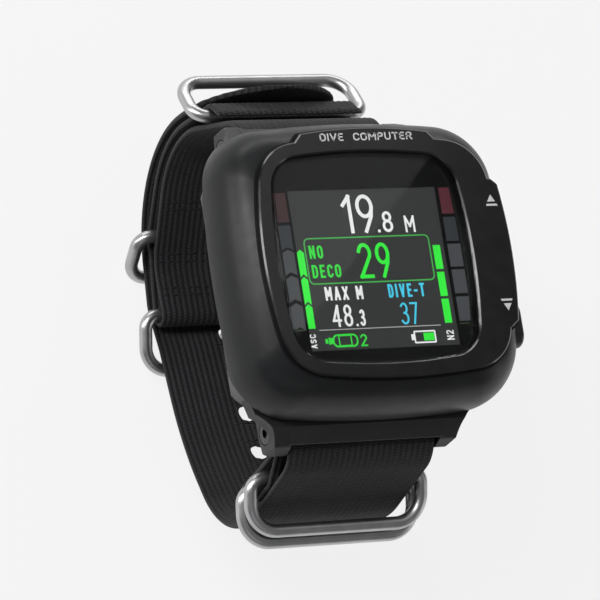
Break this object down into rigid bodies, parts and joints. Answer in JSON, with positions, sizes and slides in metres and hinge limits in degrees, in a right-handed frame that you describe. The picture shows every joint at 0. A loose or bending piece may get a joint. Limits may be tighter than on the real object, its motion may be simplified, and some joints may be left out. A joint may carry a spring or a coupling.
{
  "type": "dive computer",
  "caption": "Wrist dive computer with a rounded square case, colour display, side push buttons and a ribbed webbing strap closed through steel rings.",
  "frame": {"origin": "centre of the flat case back, midway between the lugs", "axes": "+Z points out of the display, +Y towards 12 o'clock, +X towards the side with the two buttons"},
  "size_m": [0.0746, 0.1154, 0.0882],
  "materials": {
    "case_shell": "fine moulded texture, slightly satin",
    "bezel": "satin to gloss black face plate",
    "glass": "polished mineral glass",
    "glass_print": "black ink border behind the glass with printed scale blocks",
    "display": "lit colour display",
    "inner_plastic": "moulded",
    "board": "solder-masked circuit board",
    "cell": "drawn can",
    "contact_metal": "gold-plated contact",
    "seal": "matt elastomer",
    "button": "satin moulded",
    "steel": "machined",
    "dark_steel": "blackened hex-socket screw",
    "webbing": "ribbed nylon webbing",
    "ring_steel": "brushed round wire"
  },
  "bodies": {
    "case": {"rear_case": "case_shell", "front_case": "case_shell", "case_seal": "seal", "bezel": "bezel", "lens": "glass", "lens_mask": "glass_print", "lens_gasket": "seal", "display_panel": "display", "display_frame": "inner_plastic", "circuit_board": "board", "battery_cell": "cell", "battery_carrier": "inner_plastic", "buzzer": "contact_metal", "pressure_sensor": "steel", "sensor_port_cover": "inner_plastic", "back_cover": "case_shell", "back_cover_seal": "seal", "back_cover_screws": "steel", "charge_contacts": "contact_metal", "button_switches": "inner_plastic", "lug_bar_top": "steel", "lug_bar_bottom": "steel", "lug_screws": "dark_steel", "long_strap": "webbing", "short_strap": "webbing", "button_up_seal": "seal", "button_down_seal": "seal", "button_up_spring": "steel", "button_down_spring": "steel"},
    "up_button": {"button_up": "button", "button_up_clip": "steel"},
    "down_button": {"button_down": "button", "button_down_clip": "steel"},
    "top_keeper": {"keeper_ring_top": "ring_steel"},
    "back_keeper": {"keeper_ring_back": "ring_steel"},
    "buckle": {"buckle_ring": "ring_steel"},
    "prong": {"buckle_prong": "ring_steel"},
    "front_lower_ring": {"lower_ring_front": "ring_steel"},
    "rear_lower_ring": {"lower_ring_rear": "ring_steel"}
  },
  "joints": [
    {"name": "up_button_press", "type": "slide", "parent": "case", "child": "up_button", "axis": [-1, 0, 0], "range_m": [0, 0.0008], "stiffness_N_per_m": 900, "springref_m": -0.001, "deforming": ["button_up_spring"]},
    {"name": "down_button_press", "type": "slide", "parent": "case", "child": "down_button", "axis": [-1, 0, 0], "range_m": [0, 0.0008], "stiffness_N_per_m": 900, "springref_m": -0.001, "deforming": ["button_down_spring"]},
    {"name": "top_keeper_swing", "type": "hinge", "parent": "case", "child": "top_keeper", "pos_m": [0, 0.0465, -0.0094], "axis": [1, 0, 0], "range_deg": [-18, 80]},
    {"name": "back_keeper_swing", "type": "hinge", "parent": "case", "child": "back_keeper", "pos_m": [0, 0.0285, -0.0495], "axis": [1, 0, 0], "range_deg": [0, 105]},
    {"name": "buckle_swing", "type": "hinge", "parent": "case", "child": "buckle", "pos_m": [0, 0.0095, -0.0525], "axis": [1, 0, 0], "range_deg": [0, 3]},
    {"name": "prong_swing", "type": "hinge", "parent": "buckle", "child": "prong", "pos_m": [0, 0.0095, -0.0525], "axis": [1, 0, 0], "range_deg": [0, 3]},
    {"name": "front_lower_ring_swing", "type": "hinge", "parent": "case", "child": "front_lower_ring", "pos_m": [0, -0.0415, -0.0094], "axis": [1, 0, 0], "range_deg": [-75, 3]},
    {"name": "rear_lower_ring_swing", "type": "hinge", "parent": "case", "child": "rear_lower_ring", "pos_m": [0, -0.0429, -0.0149], "axis": [1, 0, 0], "range_deg": [-2, 25]}
  ]
}
